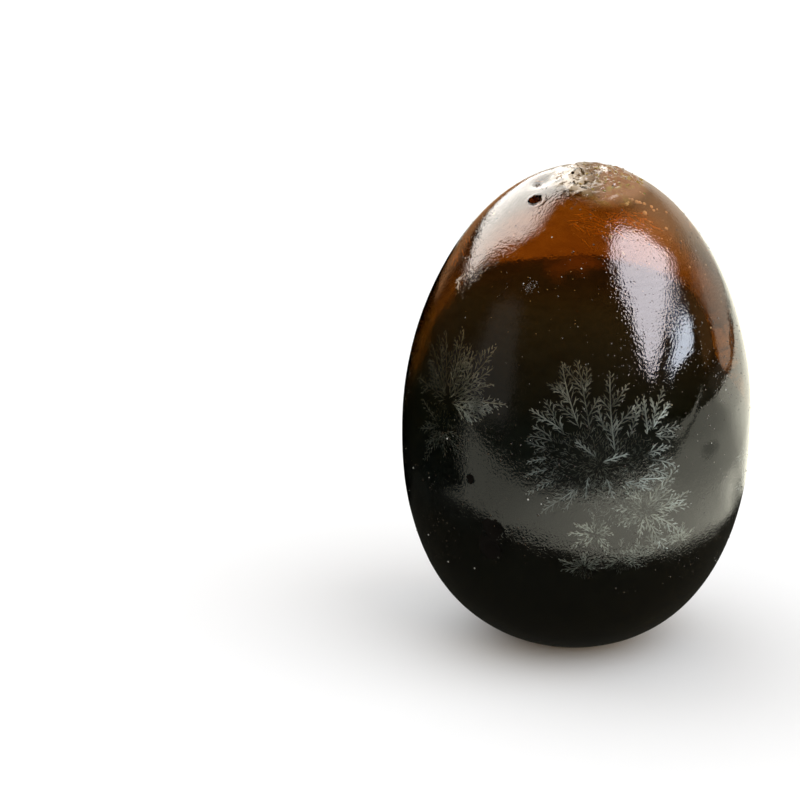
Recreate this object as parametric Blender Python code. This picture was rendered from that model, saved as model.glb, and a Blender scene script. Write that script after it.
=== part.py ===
"""A peeled century egg: one firm jelly egg that stands on the flat of its broad end.

Lengths are in metres and +Z is up. The origin is under the middle of the egg, on the surface it stands on,
and the side with the clearest marks faces -Y.
"""

import math

import bmesh
import bpy
from mathutils import Matrix, Vector, noise

MM = 0.001

# The smooth egg: a long narrow half on a short broad one, which meet at the widest part.
WIDTH = 44.0 * MM
NARROW_HALF = 33.4 * MM
BROAD_HALF = 28.5 * MM
NARROW_FULLNESS = -0.025  # share of its radius by which the narrow half differs from an oval at its tip
BROAD_FULLNESS = 0.15  # the same at the foot, where the jelly has settled
LEAN = math.radians(1.6)  # tilt of the long axis towards +X
FOOT_RADIUS = 6.5 * MM  # the flat that the egg stands on

# Slow waves that the shell has left all over the surface, down to the foot.
WAVE_HEIGHT = 0.12 * MM
WAVE_LENGTH = 11.0 * MM
WAVE_START = 9.0 * MM  # distance from the middle of the foot at which the waves begin

# The craggy cap round the narrow tip, where the white tore as the shell came off.
CAP_TURN = math.radians(17)  # turns run from the front, -Y, towards the right, +X
CAP_FROM_TIP = 3.1 * MM
CAP_RADIUS = 6.4 * MM
CRAG_HEIGHT = 0.55 * MM
CRAG_LENGTH = 2.6 * MM
CRAG_SPOT = Vector((3.1, 1.7, 0.4))  # where the pattern of crags is cut from

# The shallow dent at the cap's left edge.
DENT_TURN = math.radians(-66)
DENT_HEIGHT = 32.0 * MM
DENT_RADIUS = 2.6 * MM
DENT_DEPTH = 0.62 * MM

# Pits: turn in degrees, height above the widest part, radius and depth in millimetres.
PITS = {
    "crater": (-46, 30.1, 0.95, 0.60),
    "upper low pit": (-29.5, -7.9, 0.95, 0.45),
    "under low pit": (-31, -10.7, 1.15, 0.45),
    "small side pit": (-39, -2.0, 0.60, 0.25),
    "back crater": (141, 22.5, 1.00, 0.50),
    "back low pit": (-158, -9.5, 1.20, 0.45),
}
RIM_SHARE = 0.16  # height of the raised rim of a pit, as a share of its depth

# The mesh: a cube's faces cut into rows and blown up into a ball, with finer faces at the crags and pits.
ROWS = 22
CAP_EDGE = 0.70 * MM  # edges longer than this are halved at the cap
PIT_EDGE = 0.50 * MM
PIT_REACH = 1.6  # the finer faces run out to this many radii of a pit
HALVINGS = 3
MERGE = 0.15 * MM
SHARP_ANGLE = math.radians(40)

COLOR = (0.030, 0.022, 0.012, 1.0)
ROUGHNESS = 0.12


def remove_old_objects():
    for old in list(bpy.data.objects):
        bpy.data.objects.remove(old, do_unlink=True)


def egg_point(direction):
    """Carries a unit direction onto the smooth egg, whose widest part lies at height 0."""
    narrow = direction.z > 0
    half = NARROW_HALF if narrow else BROAD_HALF
    fullness = NARROW_FULLNESS if narrow else BROAD_FULLNESS
    radius = WIDTH / 2 * (1 + fullness * direction.z**2)
    return Vector((radius * direction.x, radius * direction.y, half * direction.z))


def place_on_egg(turn, height):
    """The point of the smooth egg at a turn from the front and a height above the widest part."""
    share = height / (NARROW_HALF if height > 0 else BROAD_HALF)
    level = math.sqrt(1 - share**2)
    return egg_point(Vector((level * math.sin(turn), -level * math.cos(turn), share)))


def cap_middle():
    level = CAP_FROM_TIP / (WIDTH / 2)
    share = math.sqrt(1 - level**2)
    return egg_point(Vector((level * math.sin(CAP_TURN), -level * math.cos(CAP_TURN), share)))


def pit_places():
    """Each pit's middle on the smooth egg, its radius and its depth, in metres."""
    places = []
    for turn, height, radius, depth in PITS.values():
        places.append((place_on_egg(math.radians(turn), height * MM), radius * MM, depth * MM))
    return places


def is_too_long(edge, zones):
    """Whether an edge of the ball lands in a zone of the egg that wants shorter edges."""
    start, end = [egg_point(vert.co) for vert in edge.verts]
    length = (end - start).length
    return any(
        length > wanted and (start - middle).length < reach and (end - middle).length < reach
        for middle, reach, wanted in zones
    )


def refine(ball, zones):
    """Halves the ball's edges where crags and pits need finer faces."""
    for step in range(HALVINGS):
        long_edges = [edge for edge in ball.edges if is_too_long(edge, zones)]
        bmesh.ops.subdivide_edges(ball, edges=long_edges, cuts=1, use_grid_fill=True)
        for vert in ball.verts:
            vert.co.normalize()
    bmesh.ops.triangulate(ball, faces=ball.faces)


def even_ball():
    """A unit ball made from a cube, with faces of nearly one size all over."""
    ball = bmesh.new()
    bmesh.ops.create_cube(ball, size=2.0)
    bmesh.ops.subdivide_edges(ball, edges=ball.edges[:], cuts=ROWS - 1, use_grid_fill=True)
    for vert in ball.verts:
        vert.co = Vector([math.tan(c * math.pi / 4) for c in vert.co]).normalized()
    return ball


def wave(point):
    above_foot = (point - egg_point(Vector((0, 0, -1)))).length
    fade = min(1.0, max(0.0, above_foot / WAVE_START - 1))
    return WAVE_HEIGHT * fade * noise.noise(point / WAVE_LENGTH)


def dent(point, middle):
    away = (point - middle).length / DENT_RADIUS
    return -DENT_DEPTH * math.exp(-2.5 * away**2)


def crag(point, middle):
    """Broken ridges and hollows that fade out at the edge of the cap."""
    away = (point - middle).length / CAP_RADIUS
    if away >= 1:
        return 0.0
    fade = (1 - away**2) ** 1.5
    ridges = 0.0
    for octave, share in enumerate((0.60, 0.40)):
        spot = point * 2**octave / CRAG_LENGTH + CRAG_SPOT
        ridges += share * (1 - 3.2 * abs(noise.noise(spot)))
    return CRAG_HEIGHT * fade * ridges


def pit(point, middle, radius, depth):
    """A bowl with a low raised rim."""
    away = (point - middle).length / radius
    if away < 1:
        return -depth * (1 - away**2) ** 1.3
    return RIM_SHARE * depth * math.exp(-(((away - 1.15) / 0.22) ** 2))


def relief(point, cap, side, pits):
    """How far the real surface stands out from the smooth egg at a point."""
    height = wave(point) + crag(point, cap) + dent(point, side)
    for middle, radius, depth in pits:
        if (point - middle).length < 2 * radius:
            height += pit(point, middle, radius, depth)
    return height


def foot_height():
    """Height of the cut that leaves a flat of the wanted radius under the broad half."""
    high, low = 0.0, -BROAD_HALF
    while high - low > 0.001 * MM:
        middle = (high + low) / 2
        edge = place_on_egg(0, middle)
        if edge.xy.length > FOOT_RADIUS:
            high = middle
        else:
            low = middle
    return low


def cut_foot(egg):
    """Cuts the broad end off square, closes it with one flat face and sets that face at height 0."""
    level = foot_height()
    everything = egg.verts[:] + egg.edges[:] + egg.faces[:]
    down = (0, 0, -1)
    bmesh.ops.bisect_plane(egg, geom=everything, plane_co=(0, 0, level), plane_no=down, clear_outer=True)
    bmesh.ops.remove_doubles(egg, verts=egg.verts, dist=MERGE)
    open_edges = [e for e in egg.edges if e.is_boundary]
    bmesh.ops.contextual_create(egg, geom=open_edges)
    bmesh.ops.translate(egg, verts=egg.verts, vec=(0, 0, -level))
    for edge in open_edges:
        for vert in edge.verts:
            vert.co.z = 0.0


def centre_over_origin(egg):
    """Moves the egg sideways until its box stands centred on the origin."""
    xs = [v.co.x for v in egg.verts]
    ys = [v.co.y for v in egg.verts]
    middle = Vector(((min(xs) + max(xs)) / 2, (min(ys) + max(ys)) / 2, 0))
    bmesh.ops.translate(egg, verts=egg.verts, vec=-middle)


def egg_mesh():
    """The whole egg as one closed body."""
    cap = cap_middle()
    side = place_on_egg(DENT_TURN, DENT_HEIGHT)
    pits = pit_places()
    egg = even_ball()
    zones = [(cap, CAP_RADIUS, CAP_EDGE)]
    zones += [(middle, PIT_REACH * radius, PIT_EDGE) for middle, radius, depth in pits]
    refine(egg, zones)
    for vert in egg.verts:
        vert.co = egg_point(vert.co)
    egg.normal_update()
    heights = [relief(vert.co, cap, side, pits) for vert in egg.verts]
    shifts = [vert.normal * height for vert, height in zip(egg.verts, heights)]
    for vert, shift in zip(egg.verts, shifts):
        vert.co += shift
    bmesh.ops.transform(egg, matrix=Matrix.Rotation(LEAN, 4, "Y"), verts=egg.verts)
    cut_foot(egg)
    centre_over_origin(egg)
    bmesh.ops.recalc_face_normals(egg, faces=egg.faces)
    mesh = bpy.data.meshes.new("egg")
    egg.to_mesh(mesh)
    egg.free()
    mesh.shade_smooth()
    mesh.set_sharp_from_angle(angle=SHARP_ANGLE)
    return mesh


def jelly_material():
    """Set duck white: nearly black brown-green, with a wet gloss."""
    material = bpy.data.materials.new("jelly")
    material.use_nodes = True
    shader = material.node_tree.nodes["Principled BSDF"]
    shader.inputs["Base Color"].default_value = COLOR
    shader.inputs["Roughness"].default_value = ROUGHNESS
    shader.inputs["Metallic"].default_value = 0.0
    return material


def build():
    remove_old_objects()
    collection = bpy.data.collections.new("century_egg")
    bpy.context.scene.collection.children.link(collection)
    egg = bpy.data.objects.new("egg", egg_mesh())
    egg.data.materials.append(jelly_material())
    collection.objects.link(egg)


build()
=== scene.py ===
"""A peeled century egg: clear amber jelly round a dark yolk, with pine-flower crystals under its skin."""

import bmesh
import bpy
import math
import random
from mathutils import Matrix, Vector, noise


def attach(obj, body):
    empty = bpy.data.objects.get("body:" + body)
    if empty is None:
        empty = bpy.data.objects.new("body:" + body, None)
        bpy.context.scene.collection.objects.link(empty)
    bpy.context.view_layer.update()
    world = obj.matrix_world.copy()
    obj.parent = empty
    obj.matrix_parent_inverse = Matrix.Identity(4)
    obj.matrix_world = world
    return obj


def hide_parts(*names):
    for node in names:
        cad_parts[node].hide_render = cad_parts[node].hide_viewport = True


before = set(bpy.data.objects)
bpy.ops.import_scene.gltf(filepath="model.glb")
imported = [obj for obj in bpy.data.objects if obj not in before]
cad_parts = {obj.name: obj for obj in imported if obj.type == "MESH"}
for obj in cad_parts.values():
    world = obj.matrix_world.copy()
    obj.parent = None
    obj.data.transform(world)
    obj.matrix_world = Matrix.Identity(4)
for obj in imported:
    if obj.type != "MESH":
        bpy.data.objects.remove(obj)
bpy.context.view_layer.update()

# The set white.
# Duck egg white that lye has turned into one firm, clear amber jelly. It took its form inside the shell. The
# broad end has settled flat where it stands, and the narrow tip tore into crags as the shell came off.

MM = 0.001
WIDTH = 44.0 * MM
NARROW_HALF = 33.4 * MM
BROAD_HALF = 28.5 * MM
NARROW_FULLNESS = -0.025  # share of its radius by which the narrow half differs from an oval at its tip
BROAD_FULLNESS = 0.15  # the same at the foot
LEAN = math.radians(1.6)
FOOT_RADIUS = 6.5 * MM

WAVE_HEIGHT = 0.12 * MM
WAVE_LENGTH = 11.0 * MM
WAVE_START = 9.0 * MM  # distance from the middle of the foot at which the waves begin

CAP_TURN = math.radians(17)  # turns run from the front, -Y, towards the right, +X
CAP_FROM_TIP = 3.1 * MM
CAP_RADIUS = 6.4 * MM
CRAG_HEIGHT = 0.55 * MM
CRAG_LENGTH = 2.6 * MM
CRAG_SPOT = Vector((3.1, 1.7, 0.4))  # where the pattern of crags is cut from
FLAKE_HEIGHT = 0.16 * MM
FLAKE_LENGTH = 0.9 * MM

DENT_TURN = math.radians(-66)
DENT_HEIGHT = 32.0 * MM
DENT_RADIUS = 2.6 * MM
DENT_DEPTH = 0.62 * MM

# Pits: turn in degrees, height above the widest part, radius and depth in millimetres.
PITS = {
    "crater": (-46, 30.1, 0.95, 0.60),
    "upper low pit": (-29.5, -7.9, 0.95, 0.45),
    "under low pit": (-31, -10.7, 1.15, 0.45),
    "small side pit": (-39, -2.0, 0.60, 0.25),
    "back crater": (141, 22.5, 1.00, 0.50),
    "back low pit": (-158, -9.5, 1.20, 0.45),
}
RIM_SHARE = 0.16  # height of the raised rim of a pit, as a share of its depth

JELLY_ROWS = 120
DIMPLE_HEIGHT = 0.010 * MM
DIMPLE_LENGTH = 1.1 * MM

# Fine crinkles, fainter in patches and faintest round a calm place low at the right. Waves are counted per
# metre along X, Y and Z, a range is cut out of a pattern from 0 to 1, and a reach runs from near to far.
WRINKLE_HEIGHT = 0.042 * MM
WRINKLE_WAVES = (3800, 3800, 3000)
PATCH_WAVES = (170, 170, 170)
PATCH_RANGE = (0.40, 0.65)
PATCH_FAINTEST = 0.50
CALM_TURN = math.radians(52)
CALM_HEIGHT = 9.0 * MM
CALM_REACH = (7.0 * MM, 13.0 * MM)
CALM_SHARE = 0.78

# The jelly lets light through, and its wet skin mirrors strongly.
JELLY_IOR = 1.30
WET_IOR = 1.9
JELLY_ROUGHNESS = 0.03
WET_ROUGHNESS = 0.01
AMBER = (0.79, 0.585, 0.10)
AMBER_DENSITY = 170

# The skin is smoky below and amber above, with burnt streaks, and a painted shadow in the same burnt colour
# under the tip.
SMOKY_SKIN = (0.55, 0.587, 0.525)
AMBER_SKIN = (0.69, 0.43, 0.13)
BURNT_AND_SHADOW_SKIN = (0.34, 0.18, 0.035)
AMBER_RISE = (30 * MM, 50 * MM)
STREAK_WAVES = (350, 350, 1200)
STREAK_RANGE = (0.44, 0.64)
STREAK_SHARE = 0.50
TIP_SHADOW_TURN = math.radians(12)
TIP_SHADOW_HEIGHT = 30.2 * MM
TIP_SHADOW_REACH = (1.0 * MM, 3.6 * MM)
TIP_SHADOW_SHARE = 0.9

# The right shoulder is a little milky.
SHOULDER_SKIN = (0.95, 0.42, 0.14)
SHOULDER_MILKY = 0.16
SHOULDER_ASIDE = (1 * MM, 9 * MM)
SHOULDER_RISE = (49 * MM, 56 * MM)

# The cap is brown with gold flecks at the right, and covered with creamy scraps at the left, which are partly
# a painted highlight, where the gloss of the back left soft box runs on over the cap.
CAP_BROWN = (0.66, 0.33, 0.17)
CAP_GOLD = (0.78, 0.54, 0.20)
BROWN_MILKY = 0.45
BROWN_REACH = (5.0 * MM, 8.0 * MM)
BROWN_ASIDE = (-1 * MM, 3 * MM)
FLECK_WAVES = (600, 600, 700)
FLECK_RANGE = (0.50, 0.66)
CAP_CREAM_AND_HIGHLIGHT = (0.80, 0.70, 0.60)
CREAM_MILKY = 0.85
CREAM_REACH = (3.8 * MM, 6.6 * MM)
CREAM_ASIDE = (-2 * MM, 3.5 * MM)
SCRAP_WAVES = (1300, 1300, 1700)
SCRAP_RANGE = (0.40, 0.50)


def ball(rows):
    """A unit ball made from a cube, with faces of nearly one size all over."""
    mesh = bmesh.new()
    bmesh.ops.create_cube(mesh, size=2.0)
    bmesh.ops.subdivide_edges(mesh, edges=mesh.edges[:], cuts=rows - 1, use_grid_fill=True)
    for vert in mesh.verts:
        vert.co = Vector([math.tan(c * math.pi / 4) for c in vert.co]).normalized()
    return mesh


def finished_mesh(shape, name):
    """Turns a worked shape into a smooth mesh."""
    mesh = bpy.data.meshes.new(name)
    shape.to_mesh(mesh)
    shape.free()
    mesh.shade_smooth()
    return mesh


def egg_point(direction):
    """Carries a unit direction onto the smooth egg, whose widest part lies at height 0."""
    narrow = direction.z > 0
    half = NARROW_HALF if narrow else BROAD_HALF
    fullness = NARROW_FULLNESS if narrow else BROAD_FULLNESS
    radius = WIDTH / 2 * (1 + fullness * direction.z**2)
    return Vector((radius * direction.x, radius * direction.y, half * direction.z))


def place_on_egg(turn, height):
    """The point of the smooth egg at a turn from the front and a height above the widest part."""
    share = height / (NARROW_HALF if height > 0 else BROAD_HALF)
    level = math.sqrt(1 - share**2)
    return egg_point(Vector((level * math.sin(turn), -level * math.cos(turn), share)))


def cap_middle():
    level = CAP_FROM_TIP / (WIDTH / 2)
    share = math.sqrt(1 - level**2)
    return egg_point(Vector((level * math.sin(CAP_TURN), -level * math.cos(CAP_TURN), share)))


def foot_height():
    """Height of the flat, of the wanted radius, under the broad half."""
    high, low = 0.0, -BROAD_HALF
    while high - low > 0.001 * MM:
        middle = (high + low) / 2
        if place_on_egg(0, middle).xy.length > FOOT_RADIUS:
            high = middle
        else:
            low = middle
    return low


def standing():
    """Carries the upright egg to where it stands: leaning, on its foot, in the middle of its box."""
    lean = Matrix.Rotation(LEAN, 4, "Y")
    sides = []
    for side in (-1, 1):
        for step in range(-20, 21):
            sides.append((lean @ place_on_egg(side * math.pi / 2, step * MM)).x)
    middle = (min(sides) + max(sides)) / 2
    return Matrix.Translation((-middle, 0, -foot_height())) @ lean


stand = standing()


def wave(point):
    above_foot = (point - egg_point(Vector((0, 0, -1)))).length
    fade = min(1.0, max(0.0, above_foot / WAVE_START - 1))
    return WAVE_HEIGHT * fade * noise.noise(point / WAVE_LENGTH)


def dent(point, middle):
    away = (point - middle).length / DENT_RADIUS
    return -DENT_DEPTH * math.exp(-2.5 * away**2)


def crag(point, middle):
    """Broken ridges and hollows that fade out at the edge of the cap, with finer flakes on them."""
    away = (point - middle).length / CAP_RADIUS
    if away >= 1:
        return 0.0
    fade = (1 - away**2) ** 1.5
    ridges = 0.0
    for octave, share in enumerate((0.60, 0.40)):
        spot = point * 2**octave / CRAG_LENGTH + CRAG_SPOT
        ridges += share * (1 - 3.2 * abs(noise.noise(spot)))
    flakes = 1 - 3.2 * abs(noise.noise(point / FLAKE_LENGTH))
    return CRAG_HEIGHT * fade * ridges + FLAKE_HEIGHT * fade**0.5 * flakes


def pit(point, middle, radius, depth):
    """A bowl with a low raised rim."""
    away = (point - middle).length / radius
    if away < 1:
        return -depth * (1 - away**2) ** 1.3
    return RIM_SHARE * depth * math.exp(-(((away - 1.15) / 0.22) ** 2))


def pit_places():
    """Each pit's middle on the smooth egg, its radius and its depth, in metres."""
    places = []
    for turn, height, radius, depth in PITS.values():
        places.append((place_on_egg(math.radians(turn), height * MM), radius * MM, depth * MM))
    return places


def jelly_mesh():
    """The whole egg as one fine closed mesh with its relief."""
    cap = cap_middle()
    side = place_on_egg(DENT_TURN, DENT_HEIGHT)
    pits = pit_places()
    egg = ball(JELLY_ROWS)
    for vert in egg.verts:
        vert.co = egg_point(vert.co)
    egg.normal_update()
    shifts = []
    for vert in egg.verts:
        point = vert.co
        height = wave(point) + crag(point, cap) + dent(point, side)
        height += DIMPLE_HEIGHT * noise.noise(point / DIMPLE_LENGTH)
        for middle, radius, depth in pits:
            if (point - middle).length < 2 * radius:
                height += pit(point, middle, radius, depth)
        shifts.append(vert.normal * height)
    for vert, shift in zip(egg.verts, shifts):
        vert.co += shift
    bmesh.ops.transform(egg, matrix=stand, verts=egg.verts)
    for vert in egg.verts:
        vert.co.z = max(vert.co.z, 0.0)
    return finished_mesh(egg, "set_white")


def add(name, mesh, material):
    """Puts one piece of the egg in the scene."""
    piece = bpy.data.objects.new(name, mesh)
    bpy.context.scene.collection.objects.link(piece)
    mesh.materials.append(material)
    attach(piece, "root")
    return piece


def new_material(name):
    material = bpy.data.materials.new(name)
    material.use_nodes = True
    tree = material.node_tree
    return material, tree, tree.nodes["Principled BSDF"]


def set_inputs(node, values):
    """Gives a node its numbers and colours, and links the outputs that feed it."""
    for name, value in values.items():
        socket = node.inputs[name]
        if isinstance(value, bpy.types.NodeSocket):
            node.id_data.links.new(value, socket)
        elif socket.type == "RGBA":
            socket.default_value = (*value, 1)
        else:
            socket.default_value = value


def place_in(tree):
    """Where a shaded point lies in the piece."""
    return tree.nodes.new("ShaderNodeTexCoord").outputs["Object"]


def axis_value(tree, place, axis):
    """How far a place lies along X, Y or Z."""
    split = tree.nodes.new("ShaderNodeSeparateXYZ")
    set_inputs(split, {"Vector": place})
    return split.outputs[axis]


def pattern(tree, place, waves, detail):
    """A noise pattern with so many waves per metre along X, Y and Z."""
    stretch = tree.nodes.new("ShaderNodeMapping")
    set_inputs(stretch, {"Vector": place, "Scale": waves})
    texture = tree.nodes.new("ShaderNodeTexNoise")
    set_inputs(texture, {"Vector": stretch.outputs["Vector"], "Scale": 1.0, "Detail": detail})
    return texture.outputs["Fac"]


def ranged(tree, value, reach, to_low=0.0, to_high=1.0):
    """Carries a value smoothly from a reach, a low and a high end, to another one, and stops at its ends."""
    node = tree.nodes.new("ShaderNodeMapRange")
    node.interpolation_type = "SMOOTHSTEP"
    low, high = reach
    set_inputs(node, {"Value": value, "From Min": low, "From Max": high, "To Min": to_low, "To Max": to_high})
    return node.outputs["Result"]


def combined(tree, operation, first, second):
    """One math node with two numbers or outputs."""
    node = tree.nodes.new("ShaderNodeMath")
    node.operation = operation
    set_inputs(node, {0: first, 1: second})
    return node.outputs[0]


def product(tree, first, *others):
    for other in others:
        first = combined(tree, "MULTIPLY", first, other)
    return first


def mixed(tree, share, first, second):
    """A colour between two colours or outputs."""
    node = tree.nodes.new("ShaderNodeMix")
    node.data_type = "RGBA"
    set_inputs(node, {"Factor": share, "A": first, "B": second})
    return node.outputs["Result"]


def shader_mix(tree, share, first, second):
    """The output of a shader between two shaders."""
    mix = tree.nodes.new("ShaderNodeMixShader")
    set_inputs(mix, {0: share, 1: first.outputs[0], 2: second.outputs[0]})
    return mix.outputs[0]


def near_spot(tree, place, spot, reach):
    """1 near a spot, and 0 away from it."""
    away = tree.nodes.new("ShaderNodeVectorMath")
    away.operation = "DISTANCE"
    set_inputs(away, {0: place, 1: spot})
    return ranged(tree, away.outputs["Value"], reach, 1.0, 0.0)


def amber_paint(tree, place):
    """Smoky below and amber above, with burnt streaks and a painted shadow under the tip."""
    amber = ranged(tree, axis_value(tree, place, "Z"), AMBER_RISE)
    # A painted shadow under the front of the cap, in the burnt colour.
    tip_shadow = near_spot(tree, place, stand @ place_on_egg(TIP_SHADOW_TURN, TIP_SHADOW_HEIGHT), TIP_SHADOW_REACH)
    streaks = ranged(tree, pattern(tree, place, STREAK_WAVES, 3), STREAK_RANGE, 0.0, STREAK_SHARE)
    streaks_and_shadow = combined(tree, "MAXIMUM", product(tree, tip_shadow, TIP_SHADOW_SHARE), streaks)
    paint = mixed(tree, amber, SMOKY_SKIN, AMBER_SKIN)
    return mixed(tree, product(tree, streaks_and_shadow, amber), paint, BURNT_AND_SHADOW_SKIN)


def shoulder_and_cap(tree, place, paint):
    """Lays the milky shoulder and the cap over the paint, with a painted highlight at the left of the cap.
    Gives the paint and how milky it is.
    """
    aside = axis_value(tree, place, "X")
    rise = ranged(tree, axis_value(tree, place, "Z"), SHOULDER_RISE, 0.0, SHOULDER_MILKY)
    shoulder = product(tree, ranged(tree, aside, SHOULDER_ASIDE), rise)
    paint = mixed(tree, combined(tree, "DIVIDE", shoulder, SHOULDER_MILKY), paint, SHOULDER_SKIN)
    cap = stand @ cap_middle()
    brown = product(tree, near_spot(tree, place, cap, BROWN_REACH), ranged(tree, aside, BROWN_ASIDE))
    flecks = ranged(tree, pattern(tree, place, FLECK_WAVES, 3), FLECK_RANGE)
    paint = mixed(tree, brown, paint, mixed(tree, flecks, CAP_BROWN, CAP_GOLD))
    # Creamy scraps at the left of the cap, partly a painted highlight where the back left soft box's gloss
    # runs over it.
    scraps = ranged(tree, pattern(tree, place, SCRAP_WAVES, 3), SCRAP_RANGE)
    left_side = ranged(tree, aside, CREAM_ASIDE, CREAM_MILKY, 0.0)
    cream_and_highlight = product(tree, near_spot(tree, place, cap, CREAM_REACH), scraps, left_side)
    milky = combined(tree, "MAXIMUM", shoulder, product(tree, brown, BROWN_MILKY))
    return mixed(tree, cream_and_highlight, paint, CAP_CREAM_AND_HIGHLIGHT), combined(tree, "MAXIMUM", milky, cream_and_highlight)


def wrinkle_normal(tree, place):
    """Fine crinkles all over, fainter in patches and round the calm place."""
    patches = ranged(tree, pattern(tree, place, PATCH_WAVES, 2), PATCH_RANGE, PATCH_FAINTEST, 1.0)
    calm = near_spot(tree, place, stand @ place_on_egg(CALM_TURN, CALM_HEIGHT), CALM_REACH)
    left = combined(tree, "SUBTRACT", 1.0, product(tree, calm, CALM_SHARE))
    bump = tree.nodes.new("ShaderNodeBump")
    wrinkles = pattern(tree, place, WRINKLE_WAVES, 1)
    strength = product(tree, patches, left)
    set_inputs(bump, {"Distance": WRINKLE_HEIGHT, "Strength": strength, "Height": wrinkles})
    return bump.outputs["Normal"]


def jelly_material():
    """Clear wet jelly, which is a deeper amber where it is thicker, and casts no shadow."""
    material, tree, shader = new_material("jelly")
    place = place_in(tree)
    paint, milky = shoulder_and_cap(tree, place, amber_paint(tree, place))
    clear_share = combined(tree, "SUBTRACT", 1.0, milky)
    normal = wrinkle_normal(tree, place)
    set_inputs(shader, {"Base Color": paint, "Transmission Weight": clear_share})
    set_inputs(shader, {"Roughness": JELLY_ROUGHNESS, "IOR": JELLY_IOR, "Normal": normal})
    set_inputs(shader, {"Coat Weight": 1.0, "Coat IOR": WET_IOR})
    set_inputs(shader, {"Coat Roughness": WET_ROUGHNESS, "Coat Normal": normal})
    path = tree.nodes.new("ShaderNodeLightPath")
    clear = tree.nodes.new("ShaderNodeBsdfTransparent")
    surface = shader_mix(tree, path.outputs["Is Shadow Ray"], shader, clear)
    depth = tree.nodes.new("ShaderNodeVolumeAbsorption")
    set_inputs(depth, {"Color": AMBER, "Density": AMBER_DENSITY})
    set_inputs(tree.nodes["Material Output"], {"Surface": surface, "Volume": depth.outputs[0]})
    return material


jelly = add("set_white", jelly_mesh(), jelly_material())
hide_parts("egg")

# The yolk.
# Set yolk, green-black with a brown crown, which shows through the jelly as its dark heart. It hardened in
# the middle of the white after sinking a little, so the clear jelly is thickest over its top.

# Shares of the egg's own radius that the yolk fills: at its tip, at its sides and where it has sagged.
YOLK_TIP_SHARE = 0.595
YOLK_SIDE_SHARE = 0.69
YOLK_LOW_SHARE = 0.88
YOLK_SHOULDER = 22.0 * MM
YOLK_SAG_FROM = 12.0 * MM
YOLK_SAG_TO = -12.0 * MM
YOLK_ASIDE = Vector((-0.7, 0.0, 0.0)) * MM
YOLK_ROWS = 40
YOLK_WAVE_HEIGHT = 0.5 * MM
YOLK_WAVE_LENGTH = 9.0 * MM

# Its colours, from the floor up to the paint height. The edge between them wanders a little.
YOLK_PAINT_HEIGHT = 50.0 * MM
YOLK_COLORS = [
    (0.35, (0.0115, 0.0135, 0.0167)),
    (0.62, (0.0115, 0.0243, 0.050)),
    (0.93, (0.080, 0.115, 0.26)),
    (0.95, (0.42, 0.34, 0.36)),
]
MOTTLE_WAVES = (300, 300, 500)
MOTTLE_RANGE = (0.3, 0.7)
MOTTLE_SHIFT = 0.010


def smooth(share):
    share = min(1.0, max(0.0, share))
    return share * share * (3 - 2 * share)


def yolk_mesh():
    yolk = ball(YOLK_ROWS)
    for vert in yolk.verts:
        full = egg_point(vert.co)
        shoulder = smooth((NARROW_HALF - full.z) / (NARROW_HALF - YOLK_SHOULDER))
        sag = smooth((YOLK_SAG_FROM - full.z) / (YOLK_SAG_FROM - YOLK_SAG_TO))
        share = YOLK_TIP_SHARE + (YOLK_SIDE_SHARE - YOLK_TIP_SHARE) * shoulder
        share += (YOLK_LOW_SHARE - YOLK_SIDE_SHARE) * sag
        waves = vert.co * YOLK_WAVE_HEIGHT * noise.noise(full / YOLK_WAVE_LENGTH)
        vert.co = YOLK_ASIDE + full * share + waves
    bmesh.ops.transform(yolk, matrix=stand, verts=yolk.verts)
    return finished_mesh(yolk, "yolk")


def ramped(tree, value, stops):
    """A colour that runs through stops, each a place from 0 to 1 and its colour."""
    node = tree.nodes.new("ShaderNodeValToRGB")
    elements = node.color_ramp.elements
    elements.remove(elements[1])
    for number, (position, color) in enumerate(stops):
        element = elements.new(position) if number else elements[0]
        element.position = position
        element.color = (*color, 1)
    set_inputs(node, {"Fac": value})
    return node.outputs["Color"]


def yolk_material():
    """Matte set yolk, painted by height."""
    material, tree, shader = new_material("yolk")
    place = place_in(tree)
    level = combined(tree, "DIVIDE", axis_value(tree, place, "Z"), YOLK_PAINT_HEIGHT)
    shift = ranged(tree, pattern(tree, place, MOTTLE_WAVES, 3), MOTTLE_RANGE, -MOTTLE_SHIFT, MOTTLE_SHIFT)
    paint = ramped(tree, combined(tree, "ADD", level, shift), YOLK_COLORS)
    set_inputs(shader, {"Base Color": paint, "Roughness": 0.7, "Specular IOR Level": 0.0})
    set_inputs(shader, {"Sheen Weight": 0.25, "Sheen Roughness": 0.35})
    return material


yolk = add("yolk", yolk_mesh(), yolk_material())

# The pine flowers.
# Pale crystals that grew in the white as it set: curved needles in rows along spines, which branch like fir.
# They lie flat, just under the surface, with a dull felt of short needles in the middle of each flower.

NEEDLE_LENGTH = 1.65 * MM
NEEDLE_WIDTH = 0.15 * MM
NEEDLE_GAP = 0.50 * MM
NEEDLE_ANGLE = math.radians(34)
NEEDLE_BEND = math.radians(24)
SIDE_SPINE_GAP = 2.4 * MM
SIDE_SPINE_ANGLE = math.radians(33)
SHALLOW = 0.12 * MM
DEEP = 0.7 * MM
RISE_LENGTH = 6 * MM  # strands come up from deep to shallow over this way from the middle

# Each strand has its own share of its flower's brightness, and bright strands are thicker.
SHINE_SPREAD = (0.45, 1.45)
THINNEST_SHARE = 0.8
THICKER_BY = 0.5
DULL_CRYSTAL = (0.051, 0.063, 0.061)
BRIGHT_CRYSTAL = (0.88, 0.96, 1.0)
DULL_WAVES = (420, 420, 420)
DULL_RANGE = (0.34, 0.58)
DULL_SHARE = 0.45

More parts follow.
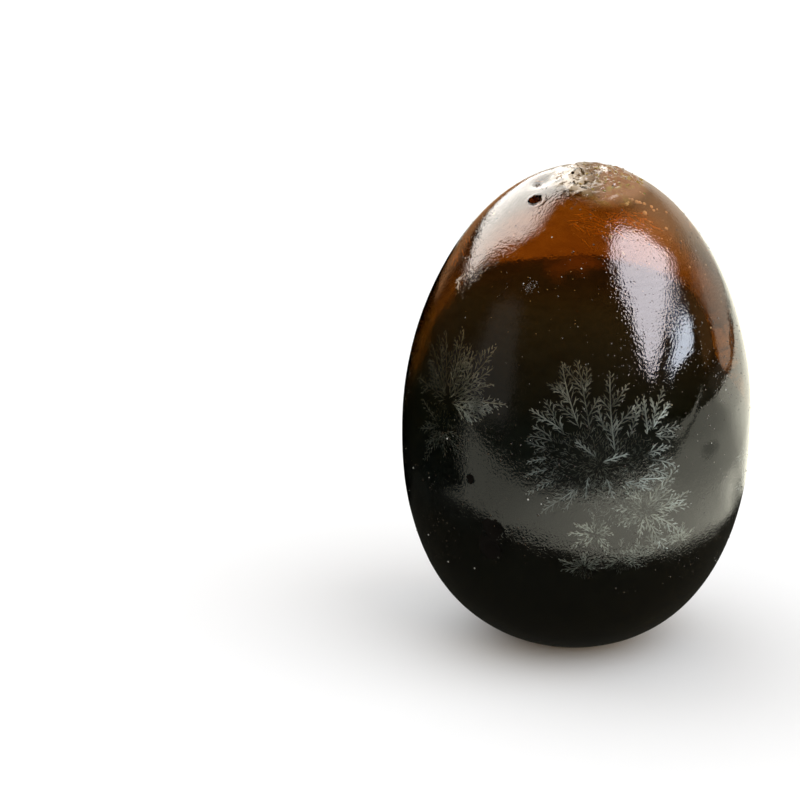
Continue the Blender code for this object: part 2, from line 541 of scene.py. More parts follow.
# The big flower in front. Its spines run from one place to another, in mm right of and above the middle of
# the flower, and the last number is the size of their needles.
FRONT_TURN = 3.6
FRONT_HEIGHT = 1.4
FRONT_SPINES = [
    (-1.4, 4.0, -3.3, 14.0, 1.0), (-2.3, 9.0, -1.9, 12.9, 0.8), (-2.6, 9.6, -5.4, 13.4, 0.8),
    (-2.7, 4.6, -6.5, 13.4, 1.0), (-4.0, 8.0, -7.0, 11.2, 0.7), (-4.6, 3.9, -7.4, 8.6, 0.9),
    (-4.8, 4.4, -9.4, 7.4, 0.9), (-6.2, 3.5, -8.7, 5.4, 0.8), (-6.0, 3.0, -9.4, 4.2, 0.8),
    (-6.8, 2.2, -9.9, 2.6, 0.7), (-6.6, 0.8, -9.4, 0.4, 0.6), (-6.4, -0.6, -9.9, -1.2, 0.6),
    (-5.6, -1.8, -9.6, -3.8, 0.6), (1.7, 1.6, -0.2, 12.0, 1.0), (1.1, 7.4, 3.4, 10.4, 0.8),
    (1.4, 4.2, 3.8, 8.2, 0.9), (0.4, 4.4, -1.0, 7.4, 0.7), (3.4, 3.6, 4.9, 8.6, 0.7),
    (5.8, 4.0, 5.2, 9.0, 0.6), (6.2, 4.4, 7.6, 10.6, 0.7), (6.4, 4.6, 8.9, 8.6, 0.7),
    (6.8, 4.2, 10.9, 5.8, 0.9), (6.9, 3.8, 10.0, 3.4, 0.8), (5.8, 1.6, 9.4, 2.6, 0.9),
    (6.2, 0.8, 10.5, 0.4, 1.0), (5.9, -0.4, 9.6, -1.0, 0.8), (4.8, -1.6, 8.9, -1.9, 0.8),
    (3.0, -1.8, 6.8, -3.4, 0.7), (-2.6, -2.6, -7.2, -6.4, 0.9), (-2.9, -3.0, -3.9, -6.0, 0.8),
    (-0.6, 1.2, -3.4, 3.0, 0.6), (0.2, 0.6, 3.4, 1.8, 0.6), (0.8, -1.4, 1.8, -4.0, 0.5),
    (-1.4, -1.2, -1.9, -4.2, 0.5),
]

# How bright its spines are, and how much brighter with each millimetre to the right of the left end.
FRONT_SHINE = (0.48, 0.68)
SHINE_TO_RIGHT = 0.04
SHINE_LEFT_END = -4

# Its felt: turn, height, half width and half height (mm), number of needles, and how bright they are.
FRONT_FELTS = [
    (FRONT_TURN, FRONT_HEIGHT, 8.5, 4.6, 1500, 0.19),
    (FRONT_TURN + 8, FRONT_HEIGHT - 4, 5.0, 3.4, 700, 0.29),
]

# Round flowers: turn and height (mm) of the middle, heading of the first and last spine in degrees from
# upwards, number of spines, shortest and longest spine (mm), size of the needles, and how bright they are.
FANS = [
    (19.5, -4.6, 20, 150, 8, 4.0, 7.0, 1.0, 1.0),
    (19.5, -4.6, 170, 330, 7, 2.5, 5.0, 0.8, 0.85),
    (3.2, -7.6, -150, 150, 11, 2.0, 3.4, 0.5, 0.70),
    (12.8, -11.6, -110, 110, 9, 1.6, 3.6, 0.6, 0.40),
    (26.5, -10.0, -90, 60, 6, 1.6, 3.6, 0.6, 0.55),
    (-52, 6.4, 0, 68, 7, 8.0, 11.2, 1.0, 0.42),
    (-52, 6.4, 78, 100, 3, 6.0, 7.5, 0.9, 0.55),
    (-52, 6.4, -70, 0, 7, 6.5, 10.0, 0.9, 0.16),
    (-54, 3.0, 100, 290, 10, 2.5, 6.0, 0.6, 0.12),
    (88, -3.0, -120, 120, 12, 7.0, 12.5, 1.0, 0.60),
    (88, -3.0, 120, 240, 9, 4.0, 7.0, 0.6, 0.40),
    (148, 4.0, -110, 110, 12, 7.0, 13.0, 1.0, 0.60),
    (148, 4.0, 110, 250, 9, 4.0, 7.0, 0.6, 0.40),
    (-118, -5.0, -90, 90, 10, 7.0, 13.0, 1.0, 0.52),
    (-118, -5.0, 90, 270, 10, 4.0, 6.0, 0.6, 0.40),
    (-165, 10.0, -180, 150, 11, 3.0, 5.0, 0.7, 0.52),
    (-172, -10.0, -180, 150, 11, 3.5, 5.5, 0.7, 0.52),
    (0, -12.6, -100, 100, 8, 1.6, 3.4, 0.6, 0.35),
    (20, -11.4, -90, 60, 7, 1.6, 3.2, 0.7, 0.60),
    (35, -9.6, -90, 60, 7, 1.6, 3.2, 0.7, 0.85),
]
FELT_REACH = 0.3  # half width of a round flower's felt, as a share of its shortest and longest spine together
FELT_PER_SPINE = 14
FELT_SHINE = 0.28


def heading_step(heading, length):
    return Vector((math.sin(heading), math.cos(heading))) * length


def bent_line(start, heading, length, bend, steps):
    """Places along a line on the flat that turns a little at each step."""
    line = [start]
    for step in range(steps):
        line.append(line[-1] + heading_step(heading, length / steps))
        heading += bend / steps
    return line


def needle(start, heading, side, length, chance):
    """A needle that leaves its spine at one side and bends back, with a barb when it is long enough."""
    way = heading + side * NEEDLE_ANGLE * chance.uniform(0.8, 1.25)
    line = bent_line(start, way, length, -side * NEEDLE_BEND, 3)
    strands = [(line, NEEDLE_WIDTH)]
    if length > 0.55 * NEEDLE_LENGTH:
        fork = line[1].lerp(line[2], chance.random())
        barb = way + side * math.radians(chance.uniform(10, 32))
        strands.append((bent_line(fork, barb, 0.42 * length, 0, 2), 0.8 * NEEDLE_WIDTH))
    return strands


def spine(start, heading, length, size, chance, side_spines=True):
    """A spine with needles that leave it left and right in turn, and now and then a smaller spine."""
    bend = chance.uniform(-0.5, 0.5)
    strands = [(bent_line(start, heading, length, bend, 8), 1.2 * NEEDLE_WIDTH)]
    place = start.copy()
    along = 0.0
    side = chance.choice((-1, 1))
    next_spine = SIDE_SPINE_GAP * chance.uniform(0.4, 1.2)
    while along < length:
        step = NEEDLE_GAP * (0.45 + 0.55 * size) * chance.uniform(0.8, 1.2)
        way = heading + bend * along / length
        left = length - along
        reach = min(NEEDLE_LENGTH * size, 0.35 * MM + 0.5 * left) * chance.uniform(0.65, 1.15)
        if side_spines and along > next_spine and left > 2.0 * MM:
            turn = side * SIDE_SPINE_ANGLE * chance.uniform(0.8, 1.2)
            reach = min(0.6 * left, 3.6 * MM) * chance.uniform(0.7, 1.0)
            strands += spine(place, way + turn, reach, 0.7 * size, chance, side_spines=False)
            next_spine = along + SIDE_SPINE_GAP * chance.uniform(0.7, 1.3)
        else:
            strands += needle(place, way, side, reach, chance)
        place = place + heading_step(way, step)
        along += step
        side = -side
    return strands


def fan(first, last, count, shortest, longest, size, chance):
    """Spines that leave one middle."""
    strands = []
    for number in range(count):
        heading = first + (last - first) * number / (count - 1) + chance.uniform(-8, 8)
        way = math.radians(heading)
        length = chance.uniform(shortest, longest) * MM
        bare = chance.uniform(0.05, 0.30) * length
        strands += spine(heading_step(way, bare), way, length - bare, size, chance)
    return strands


def felt(right, up, count, chance):
    """Short loose needles strewn over an oval."""
    strands = []
    for number in range(count):
        heading = math.radians(chance.uniform(0, 360))
        reach = chance.random() ** 0.6
        start = Vector((math.sin(heading) * right, math.cos(heading) * up)) * reach
        way = heading + chance.uniform(-0.9, 0.9)
        length = chance.uniform(0.25, 0.8) * MM
        strands.append((bent_line(start, way, length, 0, 2), 0.7 * NEEDLE_WIDTH))
    return strands


def under_surface(point, depth):
    """The place under the egg's surface nearest to a point, and the way out of the egg there."""
    half = NARROW_HALF if point.z > 0 else BROAD_HALF
    shares = Vector((point.x / (WIDTH / 2), point.y / (WIDTH / 2), point.z / half)).normalized()
    out = Vector((shares.x / (WIDTH / 2), shares.y / (WIDTH / 2), shares.z / half)).normalized()
    surface = egg_point(shares)
    return surface + out * (wave(surface) - depth), out


def tube(spots, width, corners, faces):
    """A thin closed tube with three sides along places in the egg, pointed at both ends."""
    first = len(corners)
    corners.append(spots[0][0])
    for number in range(1, len(spots) - 1):
        place, out = spots[number]
        along = (spots[number + 1][0] - spots[number - 1][0]).normalized()
        across = along.cross(out).normalized()
        for angle in (90, 210, 330):
            way = math.radians(angle)
            corners.append(place + (across * math.cos(way) + out * math.sin(way)) * width / 2)
    corners.append(spots[-1][0])
    last = len(corners) - 1
    for side in range(3):
        after = (side + 1) % 3
        faces.append((first, first + 1 + side, first + 1 + after))
        for low in range(first + 1, last - 5, 3):
            faces.append((low + side, low + 3 + side, low + 3 + after, low + after))
        faces.append((last, last - 3 + after, last - 3 + side))


def lay(strands, turn, height, depths, corners, faces):
    """Lays strands that were drawn on the flat into the egg, round a place and between two depths."""
    middle, out = under_surface(place_on_egg(math.radians(turn), height * MM), 0)
    right = Vector((0, 0, 1)).cross(out).normalized()
    up = out.cross(right)
    for line, width in strands:
        low = depths[1] + (depths[0] - depths[1]) * smooth(line[0].length / RISE_LENGTH)
        spots = [under_surface(middle + right * place.x + up * place.y, low) for place in line]
        tube(spots, width, corners, faces)


def strand_mesh(name, corners, faces, shine=None):
    """One mesh of many strands. shine gives each corner a brightness for the material."""
    mesh = bpy.data.meshes.new(name)
    mesh.from_pydata([stand @ corner for corner in corners], [], faces)
    if shine is not None:
        values = mesh.attributes.new("shine", "FLOAT", "POINT")
        values.data.foreach_set("value", shine)
    mesh.shade_smooth()
    return mesh


def flowers_mesh():
    chance = random.Random(11)
    spread = random.Random(7)
    corners, faces, shine = [], [], []

    def grow(strands, turn, height, depths, bright):
        """Lays strands into the egg. Each has its own brightness, and bright ones are thicker."""
        for line, width in strands:
            own = bright * spread.uniform(*SHINE_SPREAD)
            lay([(line, width * (THINNEST_SHARE + THICKER_BY * own))], turn, height, depths, corners, faces)
            shine.extend([own] * (len(corners) - len(shine)))

    for x, y, end_x, end_y, size in FRONT_SPINES:
        start = Vector((x, y)) * MM
        way = Vector((end_x, end_y)) * MM - start
        strands = spine(start, math.atan2(way.x, way.y), way.length, size, chance)
        bright = chance.uniform(*FRONT_SHINE) + SHINE_TO_RIGHT * max(end_x, SHINE_LEFT_END)
        grow(strands, FRONT_TURN, FRONT_HEIGHT, (SHALLOW, SHALLOW), bright)
    for turn, height, right, up, count, bright in FRONT_FELTS:
        grow(felt(right * MM, up * MM, count, chance), turn, height, (SHALLOW, DEEP), bright)
    for turn, height, first, last, count, shortest, longest, size, bright in FANS:
        strands = fan(first, last, count, shortest, longest, size, chance)
        grow(strands, turn, height, (SHALLOW, DEEP), bright)
        reach = FELT_REACH * (shortest + longest) * MM
        strands = felt(reach, reach, FELT_PER_SPINE * count, chance)
        grow(strands, turn, height, (SHALLOW, DEEP), FELT_SHINE * bright)
    return strand_mesh("pine_flowers", corners, faces, shine)


def own_value(tree, name):
    """A value that the mesh keeps at each of its corners."""
    node = tree.nodes.new("ShaderNodeAttribute")
    node.attribute_name = name
    return node.outputs["Fac"]


def crystal_material():
    """Matte grey-white. Each strand has its own brightness, and patches of it are duller."""
    material, tree, shader = new_material("crystal")
    dull = ranged(tree, pattern(tree, place_in(tree), DULL_WAVES, 2), DULL_RANGE, DULL_SHARE, 1.0)
    bright = product(tree, own_value(tree, "shine"), dull)
    paint = mixed(tree, bright, DULL_CRYSTAL, BRIGHT_CRYSTAL)
    set_inputs(shader, {"Base Color": paint, "Roughness": 0.6, "Specular IOR Level": 0.1})
    return material


flowers = add("pine_flowers", flowers_mesh(), crystal_material())

# The torn skin.
# Scraps of skin that stayed on the tip when the shell was peeled off: thin curled strips, wet and milky, some
# of them stained gold and olive. They stick to the crags, and a small heap of them lies at the left.

CURL_COUNT = 90
CURL_LENGTH = 0.9 * MM
CURL_WIDTH = 0.20 * MM
CURL_LIFT = 0.03 * MM
HEAP_COUNT = 14
HEAP_TURN = math.radians(-64.7)
HEAP_HEIGHT = 20.0 * MM
HEAP_SPREAD = 0.5 * MM

# Olive, gold and milky, by a pattern that runs from 0 to 1.
SKIN_WAVES = (260, 260, 260)
SKIN_COLORS = [
    (0.40, (0.27, 0.27, 0.03)),
    (0.46, (0.60, 0.38, 0.05)),
    (0.53, (0.74, 0.60, 0.46)),
]


def curl(spot, chance, cap, corners, faces):
    """One strip of skin that follows the crags from a place on the cap."""
    surface, out = under_surface(spot, 0)
    right = out.orthogonal().normalized()
    up = out.cross(right)
    length = CURL_LENGTH * (0.25 + 0.75 * chance.random() ** 2)
    line = bent_line(Vector((0, 0)), chance.uniform(0, 2 * math.pi), length, chance.uniform(-2.2, 2.2), 5)
    spots = []
    for place in line:
        point, normal = under_surface(surface + right * place.x + up * place.y, 0)
        spots.append((point + normal * (crag(point, cap) + CURL_LIFT), normal))
    tube(spots, CURL_WIDTH * chance.uniform(0.4, 1.2), corners, faces)


def skin_mesh():
    chance = random.Random(5)
    cap = cap_middle()
    corners, faces = [], []
    placed = 0
    while placed < CURL_COUNT:
        spot = cap + Vector([chance.gauss(0, 0.5) for axis in range(3)]) * CAP_RADIUS
        if (under_surface(spot, 0)[0] - cap).length < 1.05 * CAP_RADIUS:
            curl(spot, chance, cap, corners, faces)
            placed += 1
    heap = place_on_egg(HEAP_TURN, HEAP_HEIGHT)
    for number in range(HEAP_COUNT):
        spot = heap + Vector([chance.gauss(0, HEAP_SPREAD) for axis in range(3)])
        curl(spot, chance, cap, corners, faces)
    return strand_mesh("torn_skin", corners, faces)


def skin_material():
    """Milky and wet, stained in places."""
    material, tree, shader = new_material("skin")
    paint = ramped(tree, pattern(tree, place_in(tree), SKIN_WAVES, 2), SKIN_COLORS)
    set_inputs(shader, {"Base Color": paint, "Roughness": 0.12, "Transmission Weight": 0.35})
    set_inputs(shader, {"Coat Weight": 1.0, "Coat IOR": WET_IOR})
    return material


skin = add("torn_skin", skin_mesh(), skin_material())

# The threads.
# Fine strands in the clear jelly under the tip, where the white set round stretched fibres. They glow orange
# because they lie deep in the amber, and each bundle frays to the right.

THREAD_LENGTH = 3.0 * MM
THREAD_WIDTH = 0.13 * MM
THREAD_DEPTHS = (1.1 * MM, 2.4 * MM)
THREAD_HEADING = 112  # degrees from upwards
HEADING_SPREAD = 20
THREAD_COLOR = (0.95, 0.40, 0.05)

# Bundles: turn, height (mm), spread to the side and upwards (mm) and number of threads.
THREAD_BUNDLES = [
    (-1, 29.2, 1.4, 1.1, 34),
    (24, 29.6, 1.5, 1.1, 36),
    (102, 26, 3.0, 1.6, 30),
    (-150, 25, 3.0, 1.6, 30),
    (-95, 23, 2.0, 1.2, 14),
]


def threads_mesh():
    chance = random.Random(23)
    corners, faces = [], []
    for turn, height, aside, upward, count in THREAD_BUNDLES:
        strands = []
        for number in range(count):
            start = Vector((chance.gauss(0, aside), chance.gauss(0, upward))) * MM
            heading = math.radians(chance.gauss(THREAD_HEADING, HEADING_SPREAD))
            length = THREAD_LENGTH * chance.uniform(0.25, 1.0)
            line = bent_line(start, heading, length, chance.uniform(-0.5, 0.5), 6)
            strands.append((line, THREAD_WIDTH))
        lay(strands, turn, height, THREAD_DEPTHS, corners, faces)
    return strand_mesh("threads", corners, faces)


def plain_material(name, color, roughness, specular=0.5):
    """One colour all over."""
    material, tree, shader = new_material(name)
    set_inputs(shader, {"Base Color": color, "Roughness": roughness, "Specular IOR Level": specular})
    return material


threads = add("threads", threads_mesh(), plain_material("thread", THREAD_COLOR, 0.5))

# The bubbles.
# Pale pin-head bubbles that the jelly trapped under its skin as it set. Most of them sit round the right
# shoulder, and a few are strewn over the rest.

# Groups: turn, height and spread (mm), number, and largest radius (mm).
BUBBLE_GROUPS = [
    (38, 28.4, 2.7, 44, 0.34),
    (60, 22.0, 3.5, 30, 0.18),
    (10, 26.0, 5.0, 26, 0.10),
    (-35, 22.0, 5.0, 24, 0.08),
    (125, 24.0, 5.0, 50, 0.22),
    (-140, 20.0, 6.0, 50, 0.20),
    (75, 4.0, 7.0, 40, 0.10),
    (170, 2.0, 8.0, 50, 0.14),
]
BUBBLE_SMALLEST = 0.04 * MM
BUBBLE_DEPTH = 0.10 * MM
BUBBLE_RINGS = 6
BUBBLE_COLOR = (1.0, 0.90, 0.80)


def add_ball(middle, radius, rings, corners, faces):
    """A small round ball."""
    sides = 2 * rings
    first = len(corners)
    corners.append(middle + Vector((0, 0, radius)))
    for ring in range(1, rings):
        level = math.pi * ring / rings
        flat = math.sin(level)
        for side in range(sides):
            way = 2 * math.pi * side / sides
            out = Vector((flat * math.cos(way), flat * math.sin(way), math.cos(level)))
            corners.append(middle + out * radius)
    corners.append(middle + Vector((0, 0, -radius)))
    last = len(corners) - 1
    for side in range(sides):
        after = (side + 1) % sides
        faces.append((first, first + 1 + side, first + 1 + after))
        for upper in range(first + 1, last - sides, sides):
            faces.append((upper + side, upper + sides + side, upper + sides + after, upper + after))
        faces.append((last, last - sides + after, last - sides + side))


def bubbles_mesh():
    chance = random.Random(3)
    corners, faces = [], []
    for turn, height, spread, count, largest in BUBBLE_GROUPS:
        middle = place_on_egg(math.radians(turn), height * MM)
        for number in range(count):
            spot = middle + Vector([chance.gauss(0, spread) for axis in range(3)]) * MM
            radius = BUBBLE_SMALLEST + (largest * MM - BUBBLE_SMALLEST) * chance.random() ** 2.5
            place, out = under_surface(spot, BUBBLE_DEPTH + radius)
            add_ball(place, radius, BUBBLE_RINGS, corners, faces)
    return strand_mesh("bubbles", corners, faces)


bubbles = add("bubbles", bubbles_mesh(), plain_material("bubble", BUBBLE_COLOR, 0.4))

# The beads.
# Specks of water and jelly on the skin, 0.1 to 0.3 mm across, each with its own glint. A few are pale, as
# painted glints. A rough patch of them sits at the front left.

BEAD_COUNT = 1700
BEAD_SMALLEST = 0.05 * MM
BEAD_LARGEST = 0.14 * MM
BEAD_RINGS = 4
BEAD_LOWEST = -16 * MM
CLUSTER_LENGTH = 5 * MM
BEAD_DARK = (0.03, 0.02, 0.01)
BEAD_PAINTED_GLINT = (0.50, 0.51, 0.48)
PAINTED_GLINT_SHARE = 0.06

# Patches: turn, height (mm), spread (mm) and number of beads. The first one is the rough patch.
BEAD_PATCHES = [
    (-26.3, 21.1, 0.42, 70),
    (24, 15, 3.0, 260),
    (50, 11, 3.0, 160),
    (150, 12, 4.0, 200),
]


def bead_spots(chance):
    """Places in the patches, and in loose clusters over all but the lowest part of the egg."""
    spots = []
    for turn, height, spread, count in BEAD_PATCHES:
        middle = place_on_egg(math.radians(turn), height * MM)
        for number in range(count):
            spots.append(middle + Vector([chance.gauss(0, spread) for axis in range(3)]) * MM)
    wanted = len(spots) + BEAD_COUNT
    while len(spots) < wanted:
        point = egg_point(Vector([chance.gauss(0, 1) for axis in range(3)]).normalized())
        if point.z > BEAD_LOWEST and noise.noise(point / CLUSTER_LENGTH) > 0.9 * chance.random() - 0.35:
            spots.append(point)
    return spots


def beads_mesh():
    chance = random.Random(8)
    corners, faces, shine = [], [], []
    for spot in bead_spots(chance):
        radius = BEAD_SMALLEST + (BEAD_LARGEST - BEAD_SMALLEST) * chance.random() ** 3
        place, out = under_surface(spot, 0.5 * radius)
        add_ball(place, radius, BEAD_RINGS, corners, faces)
        # A few beads are painted pale, as glints.
        pale = 1.0 if chance.random() < PAINTED_GLINT_SHARE else 0.0
        shine.extend([pale] * (len(corners) - len(shine)))
    return strand_mesh("beads", corners, faces, shine)


def bead_material():
    """Very glossy. Most beads are dark, so that only glints of the lamps show, and a few are pale, as painted
    glints.
    """
    material, tree, shader = new_material("bead")
    paint = mixed(tree, own_value(tree, "shine"), BEAD_DARK, BEAD_PAINTED_GLINT)
    set_inputs(shader, {"Base Color": paint, "Roughness": 0.05, "Coat Weight": 1.0, "Coat IOR": WET_IOR})
    return material


beads = add("beads", beads_mesh(), bead_material())

# The dark pit crusts.
# Dull black clots with a ragged edge, which make the pits of the lower half dark. They stick to the skin as
# thin crusts and follow its relief.

# Turn, height, half width and half height (mm) of each crust.
PIT_CRUSTS = [
    (-30.6, -8.1, 1.45, 1.7),
    (-32.0, -10.9, 1.8, 1.8),
    (-39, -2.0, 0.55, 0.6),
    (-158, -9.5, 1.8, 1.7),
]
CRUST_LIFT = 0.03 * MM
CRUST_COLOR = (0.004, 0.003, 0.002)
CRUST_SIDES = 48
CRUST_RINGS = 10
CRUST_FULLNESS = 0.95
CRUST_RAGS = [(1.7, 0.35), (6, 0.30)]  # how close the bays of the edge lie, and how deep they are


def crust(pit_crust, lift, pits):
    """One side of a clot, ring by ring from its middle, which follows the relief of the skin."""
    turn, height, width, tall = pit_crust
    middle, out = under_surface(place_on_egg(math.radians(turn), height * MM), 0)
    right = Vector((0, 0, 1)).cross(out).normalized()
    up = out.cross(right)
    corners = []
    for ring in range(CRUST_RINGS):
        for side in range(CRUST_SIDES):
            way = 2 * math.pi * side / CRUST_SIDES
            compass = Vector((math.cos(way), math.sin(way), turn))
            ragged = CRUST_FULLNESS + sum(depth * noise.noise(bays * compass) for bays, depth in CRUST_RAGS)
            reach = ragged * (ring + 0.5) / CRUST_RINGS
            edge = right * math.cos(way) * width * reach + up * math.sin(way) * tall * reach
            place, normal = under_surface(middle + edge * MM, 0)
            relief = sum(pit(place, spot, radius, depth) for spot, radius, depth in pits)
            thin = lift * (1 - (ring / (CRUST_RINGS - 1)) ** 4)
            corners.append(place + normal * (relief + thin))
    return corners


def pit_crusts_mesh():
    """Clots with an upper and a lower side."""
    pits = pit_places()
    corners, faces = [], []
    for pit_crust in PIT_CRUSTS:
        for lift in (CRUST_LIFT, -CRUST_LIFT):
            first = len(corners)
            corners += crust(pit_crust, lift, pits)
            faces.append(tuple(range(first, first + CRUST_SIDES)))
            for inner in range(first, len(corners) - CRUST_SIDES, CRUST_SIDES):
                outer = inner + CRUST_SIDES
                for side in range(CRUST_SIDES):
                    after = (side + 1) % CRUST_SIDES
                    faces.append((inner + side, outer + side, outer + after, inner + after))
    return strand_mesh("pit_crusts", corners, faces)


pit_crusts = add("pit_crusts", pit_crusts_mesh(), plain_material("pit_crust", CRUST_COLOR, 1.0, specular=0.1))

# The floor, the light and the camera.
# A pale table top in a photo tent. One soft box stands behind on the left and one on the right, with a white
# wall behind on the right and dark cloth elsewhere, and the wet surface mirrors them all.

FLOOR_RADIUS = 3.0
FLOOR_COLOR = (0.82, 0.82, 0.82)

# What the gloss shows of the table. Each edge of the two table tops fades over a reach.
TABLE_COLOR = (1.0, 0.98, 0.82)
TABLE_DARK = 0.06
TABLE_FRONT = (-94 * MM, -70 * MM)
TABLE_RIGHT = (380 * MM, 420 * MM)
SIDE_TABLE_FRONT = (-177 * MM, -153 * MM)
SIDE_TABLE_BACK = (-107 * MM, -83 * MM)
SIDE_TABLE_LEFT = (150 * MM, 200 * MM)

# How the light changes along the table: axis, near and far end (mm), and the share at either end.
TABLE_SLOPES = [
    ("X", -70, 50, 0.30, 0.93),
    ("X", 48, 90, 1.0, 0.68),
    ("X", 120, 190, 1.0, 0.80),
    ("Y", 30, 90, 1.0, 1.9),
]

# Round spots: place along X and Y, inner and outer radius (mm), and how dark. The last one is bright instead.
TABLE_SPOTS = [
    (-15, 20, 59, 65, 0.975),
    (50, 36, 8, 18, 0.60),
    (128, -7, 8, 26, 0.45),
    (68, 22, 6, 20, -0.50),
]


def mirrored_share(tree):
    """1 for what a shiny surface mirrors, and 0 for what is seen straight or through the jelly."""
    path = tree.nodes.new("ShaderNodeLightPath")
    share = tree.nodes.new("ShaderNodeMath")
    share.operation = "SUBTRACT"
    share.use_clamp = True
    set_inputs(share, {0: path.outputs["Is Glossy Ray"], 1: path.outputs["Is Transmission Ray"]})
    return share.outputs[0]


def emission(tree, color, strength):
    node = tree.nodes.new("ShaderNodeEmission")
    set_inputs(node, {"Color": color, "Strength": strength})
    return node


def table_light(tree, place):
    """How bright the gloss shows each place of the table."""
    x = axis_value(tree, place, "X")
    y = axis_value(tree, place, "Y")
    front = ranged(tree, y, TABLE_FRONT, TABLE_DARK, 1.0)
    table = product(tree, front, ranged(tree, x, TABLE_RIGHT, 1.0, TABLE_DARK))
    side_front = ranged(tree, y, SIDE_TABLE_FRONT)
    side_back = ranged(tree, y, SIDE_TABLE_BACK, 1.0, 0.0)
    side_table = product(tree, side_front, side_back, ranged(tree, x, SIDE_TABLE_LEFT))
    light = combined(tree, "MAXIMUM", table, side_table)
    for axis, near, far, near_share, far_share in TABLE_SLOPES:
        reach = (near * MM, far * MM)
        slope = ranged(tree, axis_value(tree, place, axis), reach, near_share, far_share)
        light = product(tree, light, slope)
    for spot_x, spot_y, inner, outer, depth in TABLE_SPOTS:
        spot = near_spot(tree, place, Vector((spot_x, spot_y, 0)) * MM, (inner * MM, outer * MM))
        light = product(tree, light, combined(tree, "SUBTRACT", 1.0, product(tree, spot, depth)))
    return light


def floor_material():
    """Pale to the eye. What the wet egg mirrors is a bright table top with a dark place round the egg."""
    material, tree, shader = new_material("floor")
    set_inputs(shader, {"Base Color": FLOOR_COLOR, "Roughness": 1.0, "Specular IOR Level": 0.0})
    mirrored = emission(tree, TABLE_COLOR, table_light(tree, place_in(tree)))
    surface = shader_mix(tree, mirrored_share(tree), shader, mirrored)
    set_inputs(tree.nodes["Material Output"], {"Surface": surface})
    return material


def floor_mesh():
    floor = bmesh.new()
    bmesh.ops.create_circle(floor, cap_ends=True, radius=FLOOR_RADIUS, segments=96)
    mesh = bpy.data.meshes.new("floor")
    floor.to_mesh(mesh)
    floor.free()
    return mesh


floor = bpy.data.objects.new("floor", floor_mesh())
bpy.context.scene.collection.objects.link(floor)
floor.data.materials.append(floor_material())

# The panels that the gloss shows: name, brightness, colour, share over which the light fades, distance (m),
# and corners. A corner is an azimuth, 0 in front and 90 right, and an elevation, from the egg's widest part.
EGG_MIDDLE = stand @ Vector((0, 0, 0))
PANELS = [
    ("back_left_box", 3.3, (1.0, 0.94, 0.86), 0.03, 0.65, [
        (-116, 20), (-141, 20), (-159, 14), (-178, 6), (-187, 30), (-170, 59), (-131, 66), (-95, 62),
        (-92, 51), (-106, 39), (-114, 29)]),
    ("right_box", 4.6, (0.98, 0.93, 1.0), 0.02, 0.65, [
        (45, 10), (60, 21), (78, 30.5), (97, 34.5), (96, 41), (82, 58), (70, 66), (38, 60), (36, 46),
        (39, 28), (43, 17)]),
    ("right_window", 5.0, (0.80, 0.87, 1.0), 0.02, 0.6, [
        (81, 23.5), (86, 17), (81, 11), (56, 9), (65, 16), (74, 21.5)]),
    ("left_panel", 0.10, (1.0, 0.93, 0.88), 0.03, 0.65, [
        (-56, 35), (-80, 27), (-78, 0), (-74, -16), (-48, -14), (-47, 10)]),
    ("right_wall", 0.60, (1.0, 0.85, 0.68), 0.03, 0.64, [
        (110, 19), (108, 12), (107, 5), (107, 0), (113, -4), (120, -3), (126, 0), (150, 0), (187, -7),
        (187, 19)]),
    ("high_right_wall", 0.30, (1.0, 0.68, 0.45), 0.1, 0.63, [
        (114, 50), (113, 30), (108, 17), (187, 17), (187, 50)]),
    ("top_back_box", 1.8, (1.0, 0.95, 0.88), 0.4, 0.65, [
        (138, 40), (190, 22), (205, 60), (150, 78)]),
    ("right_brown_card", 0.16, (1.0, 0.50, 0.20), 0.2, 0.62, [
        (90, 30), (106, 17), (105, 3), (89, 3), (89, 14)]),
    ("brown_card", 0.42, (1.0, 0.45, 0.18), 0.2, 0.65, [
        (-140, 16), (-144, -3), (-152, -14), (-192, -14), (-192, 8)]),
]


def direction(azimuth, elevation):
    """A unit vector from the egg."""
    a = math.radians(azimuth)
    e = math.radians(elevation)
    return Vector((math.sin(a) * math.cos(e), -math.cos(a) * math.cos(e), math.sin(e)))


def glow_material(name, brightness, color):
    """Glows as strongly as the mesh says at each of its corners."""
    material = bpy.data.materials.new(name)
    material.use_nodes = True
    tree = material.node_tree
    tree.nodes.clear()
    glow = emission(tree, color, product(tree, own_value(tree, "glow"), brightness))
    output = tree.nodes.new("ShaderNodeOutputMaterial")
    set_inputs(output, {"Surface": glow.outputs[0]})
    material.cycles.emission_sampling = "NONE"
    return material


def show_in_gloss(name, mesh, material):
    """Puts up a panel that only the gloss shows."""
    mesh.materials.append(material)
    panel = bpy.data.objects.new(name, mesh)
    for ray in ("camera", "diffuse", "transmission", "shadow", "volume_scatter"):
        setattr(panel, "visible_" + ray, False)
    bpy.context.scene.collection.objects.link(panel)


def soft_box(name, brightness, color, softness, distance, edge):
    """A glowing panel whose light fades out towards its edge."""
    outer = [EGG_MIDDLE + direction(azimuth, elevation) * distance for azimuth, elevation in edge]
    middle = sum(outer, Vector()) / len(outer)
    inner = [corner.lerp(middle, softness) for corner in outer]
    count = len(edge)
    faces = []
    for number in range(count):
        after = (number + 1) % count
        faces.append((number, after, count + after, count + number))
        faces.append((count + number, count + after, 2 * count))
    mesh = bpy.data.meshes.new(name)
    mesh.from_pydata(outer + inner + [middle], [], faces)
    glow = mesh.attributes.new("glow", "FLOAT", "POINT")
    glow.data.foreach_set("value", [0.0] * count + [1.0] * (count + 1))
    show_in_gloss(name, mesh, glow_material(name, brightness, color))


for panel in PANELS:
    soft_box(*panel)

FLAG_HEIGHT = 45 * MM


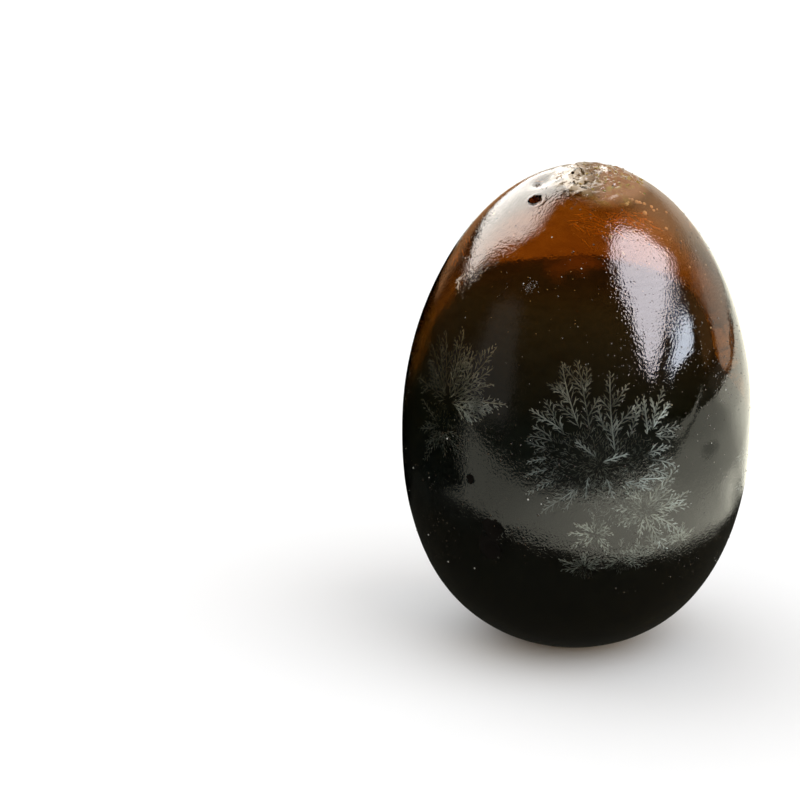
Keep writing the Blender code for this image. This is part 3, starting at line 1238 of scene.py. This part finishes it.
def flag(name, start, end):
    """A low black board that keeps part of the table out of the gloss of the left side."""
    low, high = Vector((0, 0, 0)), Vector((0, 0, FLAG_HEIGHT))
    mesh = bpy.data.meshes.new(name)
    mesh.from_pydata([start + low, end + low, end + high, start + high], [], [(0, 1, 2, 3)])
    show_in_gloss(name, mesh, plain_material(name, (0, 0, 0), 1.0, specular=0.0))


flag("left_flag", Vector((-72, -24, 0)) * MM, Vector((-72, 400, 0)) * MM)
flag("back_flag", Vector((-72, 42, 0)) * MM, Vector((-8, 42, 0)) * MM)


def sun(name, azimuth, elevation, strength, softness):
    """A far soft lamp that lights the egg and the floor but leaves no mark in the gloss."""
    lamp = bpy.data.lights.new(name, "SUN")
    lamp.energy = strength
    lamp.angle = math.radians(softness)
    light = bpy.data.objects.new(name, lamp)
    light.rotation_euler = direction(azimuth, elevation).to_track_quat("Z", "Y").to_euler()
    light.visible_glossy = False
    light.visible_transmission = False
    bpy.context.scene.collection.objects.link(light)


# Azimuth and elevation, strength, and width, with the angles in degrees.
sun("right_sun", 60, 45, 1.1, 60)
sun("back_left_sun", -140, 50, 0.7, 60)

WORLD_LIGHT = 0.95
WORLD_MIRRORED = (0.005, 0.005, 0.005)


def studio_world():
    """Even light from all sides, of which the gloss shows next to nothing."""
    world = bpy.data.worlds.new("studio")
    world.use_nodes = True
    tree = world.node_tree
    backdrop = tree.nodes["Background"]
    set_inputs(backdrop, {"Color": (1, 1, 1), "Strength": WORLD_LIGHT})
    dark = tree.nodes.new("ShaderNodeBackground")
    set_inputs(dark, {"Color": WORLD_MIRRORED})
    surface = shader_mix(tree, mirrored_share(tree), backdrop, dark)
    set_inputs(tree.nodes["World Output"], {"Surface": surface})
    return world


bpy.context.scene.world = studio_world()

CAMERA_PLACE = EGG_MIDDLE + Vector((-22.27, -296.82, 88.45)) * MM
CAMERA_TILT = math.radians(74)
CAMERA_LENS = 110
CAMERA_SENSOR = 36
CAMERA_NEAREST = 0.01

camera_data = bpy.data.cameras.new("camera")
camera_data.lens = CAMERA_LENS
camera_data.sensor_width = CAMERA_SENSOR
camera_data.clip_start = CAMERA_NEAREST
camera = bpy.data.objects.new("camera", camera_data)
camera.location = CAMERA_PLACE
camera.rotation_euler = (CAMERA_TILT, 0, 0)
bpy.context.scene.collection.objects.link(camera)
bpy.context.scene.camera = camera
bpy.context.scene.view_settings.view_transform = "Standard"
